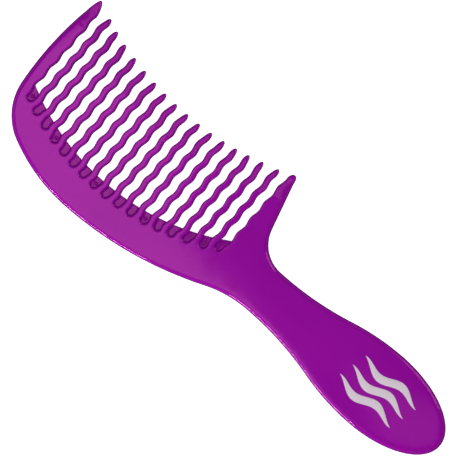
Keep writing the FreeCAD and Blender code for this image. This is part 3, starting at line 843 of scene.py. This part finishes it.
web_parts = []
for slot in range(TOOTH_COUNT + 1):
    web_parts.append(part_of(build_web(slot), "web"))
for slot in PIN_MARK_SLOTS:
    web_parts.append(part_of(build_pin_mark(slot), "mark"))

for piece in moulding.faces:
    parts = [(moulding.points, normals, moulding.faces[piece], moulding.caps[piece])]
    if piece == "spine":
        parts += web_parts
    obj = make_object(f"{piece}_moulding", parts)
    obj.data.materials.append(plastic)
    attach(obj, "root")
    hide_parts(piece)

mark = make_object("printed_waves", [part_of(build_print(), "print")])
mark.data.materials.append(ink)
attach(mark, "root")
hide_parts("handle_print")

# ---------------------------------------------------------------- floor, light and camera

VIEW_CENTRE = (-10.0, 0.96)        # millimetres, in the comb's frame
VIEW_ROLL = math.radians(41.4)
VIEW_DISTANCE = 1200.0             # millimetres above the comb's front face
VIEW_WIDTH = 186.45                # millimetres across the front face
SENSOR_WIDTH = 36.0
PANEL_HEIGHT = 0.9                 # metres above the floor
FLOOR_HALF_WIDTH = 4.0             # metres
FLOOR_COLOUR = (0.8, 0.8, 0.8, 1.0)
FLOOR_GLOW = 0.85                  # keeps the floor near white between the soft lights
WHITE = (1.0, 1.0, 1.0, 1.0)


def make_floor():
    """A pale floor that the comb neither mirrors nor is lit by."""
    mesh = bpy.data.meshes.new("floor")
    corners = [(x * FLOOR_HALF_WIDTH, y * FLOOR_HALF_WIDTH, 0.0)
               for x, y in ((-1, -1), (1, -1), (1, 1), (-1, 1))]
    mesh.from_pydata(corners, [], [(0, 1, 2, 3)])
    floor = bpy.data.objects.new("floor", mesh)
    bpy.context.scene.collection.objects.link(floor)
    material, _, _, shader = new_material("pale_floor")
    shader.inputs["Base Color"].default_value = FLOOR_COLOUR
    shader.inputs["Roughness"].default_value = 0.9
    shader.inputs["Emission Color"].default_value = WHITE
    shader.inputs["Emission Strength"].default_value = FLOOR_GLOW
    mesh.materials.append(material)
    floor.visible_glossy = False
    floor.visible_diffuse = False


def in_view(right, up, height):
    """A place this far right of and above the middle of the camera's view, in metres."""
    turned = Matrix.Rotation(VIEW_ROLL, 3, "Z") @ Vector((right, up, 0.0))
    return turned + Vector((VIEW_CENTRE[0] * MM, VIEW_CENTRE[1] * MM, height))


def add_light(name, place, rotation, size, power, in_reflections=True):
    light = bpy.data.lights.new(name, "AREA")
    light.shape = "RECTANGLE"
    light.size, light.size_y = size
    light.energy = power
    obj = bpy.data.objects.new(name, light)
    obj.location = place
    obj.rotation_euler = rotation
    obj.visible_glossy = in_reflections
    bpy.context.scene.collection.objects.link(obj)


def softbox(name, place, target, size, power, in_reflections=True):
    """A rectangular light that faces its target."""
    rotation = (target - place).to_track_quat("-Z", "Y").to_euler()
    add_light(name, place, rotation, size, power, in_reflections)


def ceiling_panel(name, across, up, radiance):
    """A panel overhead that the comb's flat face mirrors over this part of the view, given
    in millimetres from its middle."""
    scale = (1 + PANEL_HEIGHT / (VIEW_DISTANCE * MM)) * MM
    size = ((across[1] - across[0]) * scale, (up[1] - up[0]) * scale)
    place = in_view(sum(across) / 2 * scale, sum(up) / 2 * scale, PANEL_HEIGHT)
    power = radiance * math.pi * size[0] * size[1]
    add_light(name, place, (0.0, 0.0, VIEW_ROLL), size, power)


def make_world():
    """A studio room: grey walls, and a dark ceiling and ground."""
    world = bpy.data.worlds.new("studio")
    world.use_nodes = True
    nodes, links = world.node_tree.nodes, world.node_tree.links
    place = nodes.new("ShaderNodeTexCoord")
    split = nodes.new("ShaderNodeSeparateXYZ")
    links.new(place.outputs["Generated"], split.inputs["Vector"])
    ceiling = to_range(nodes, links, split.outputs["Z"], 0.5, 0.01, 0.25, 0.7)
    ground = to_range(nodes, links, split.outputs["Z"], 0.05, 1.0, -0.1, 0.1)
    strength = nodes.new("ShaderNodeMath")
    strength.operation = "MULTIPLY"
    links.new(ceiling, strength.inputs[0])
    links.new(ground, strength.inputs[1])
    links.new(strength.outputs["Value"], nodes["Background"].inputs["Strength"])
    nodes["Background"].inputs["Color"].default_value = WHITE
    bpy.context.scene.world = world


def make_camera():
    """A camera straight above the comb, turned so that it lies across the view's corners."""
    data = bpy.data.cameras.new("camera")
    data.sensor_width = SENSOR_WIDTH
    data.lens = SENSOR_WIDTH * VIEW_DISTANCE / VIEW_WIDTH
    data.clip_start = 0.01
    camera = bpy.data.objects.new("camera", data)
    camera.location = in_view(0.0, 0.0, (COMB_THICKNESS / 2 + VIEW_DISTANCE) * MM)
    camera.rotation_euler = (0.0, 0.0, VIEW_ROLL)
    bpy.context.scene.collection.objects.link(camera)
    bpy.context.scene.camera = camera


make_floor()
make_world()
make_camera()
ceiling_panel("head_panel", (-260.0, -16.0), (-240.0, 110.0), 2.6)
ceiling_panel("tip_panel", (0.0, 115.0), (80.0, 190.0), 1.8)
ceiling_panel("handle_panel", (46.0, 120.0), (-120.0, -58.0), 0.8)
softbox("overhead_fill", in_view(-0.05, 0.05, 0.7), in_view(0.0, 0.0, 0.0), (0.4, 0.4), 1.8, False)
softbox("left_strip", in_view(-0.62, -0.62, 0.19), in_view(-0.05, 0.0, 0.0), (0.5, 0.08), 8.0)
softbox("right_softbox", in_view(0.9, 0.4, 0.8), in_view(0.0, 0.0, 0.0), (0.5, 0.5), 5.0)

bpy.context.scene.view_settings.view_transform = "Standard"
